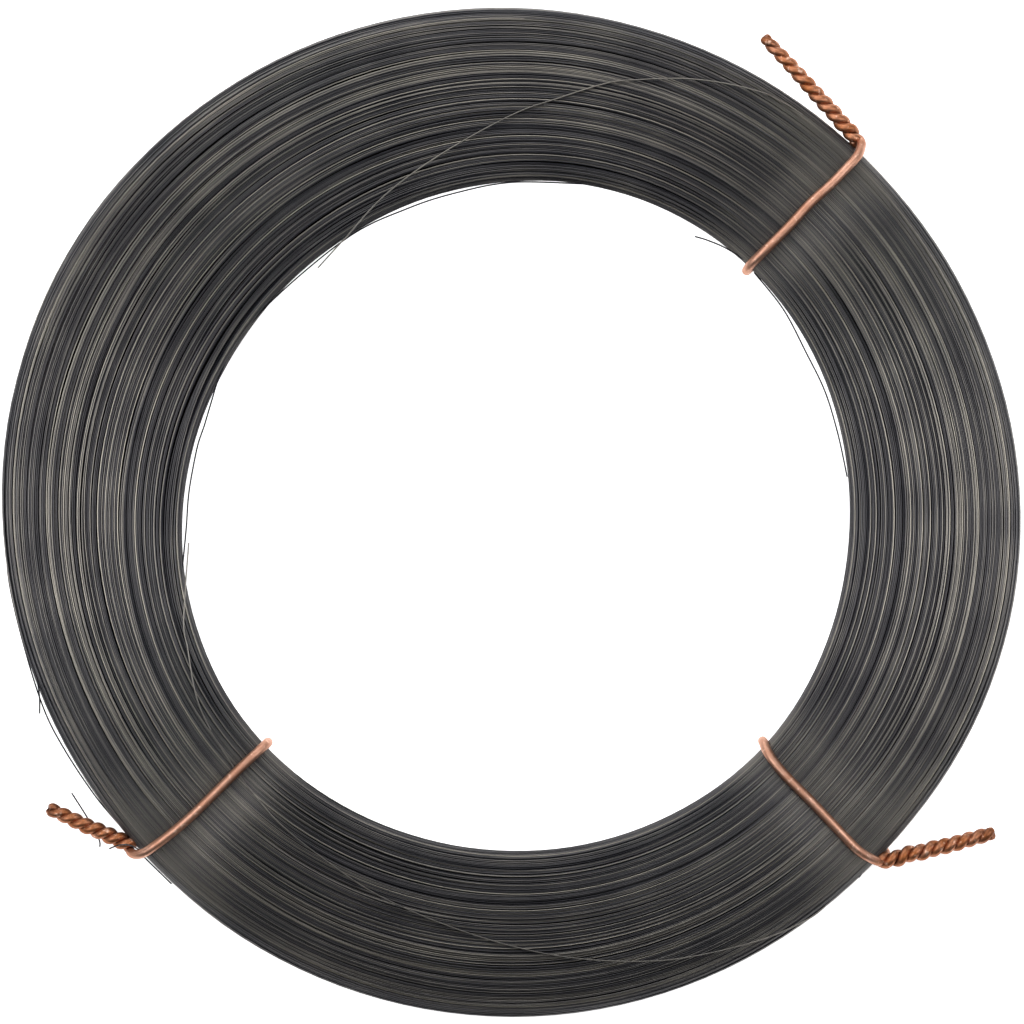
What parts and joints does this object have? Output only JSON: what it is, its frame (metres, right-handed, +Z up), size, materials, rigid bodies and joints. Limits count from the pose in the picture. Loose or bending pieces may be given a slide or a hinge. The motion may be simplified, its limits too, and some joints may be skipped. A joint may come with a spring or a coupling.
{
  "type": "coil of music wire",
  "caption": "Flat coil of fine dark spring steel wire with an open bore, held by copper wire ties twisted at its outside.",
  "frame": {"origin": "centre of the coil on the plane of its flat underside, which is the floor it lies on", "axes": "+Z up along the coil's axis, +X to the right and +Y to the top of the picture, which looks straight down on the coil"},
  "size_m": [0.173, 0.173, 0.0093],
  "materials": {
    "music_wire": "dark, bright-drawn spring steel with a thin oiled phosphate film",
    "copper_wire": "soft drawn bare copper, slightly browned on the tails"
  },
  "bodies": {
    "root": {"wire_coil": "music_wire", "tie_upper_right": "copper_wire", "tie_lower_left": "copper_wire", "tie_lower_right": "copper_wire"}
  },
  "joints": []
}
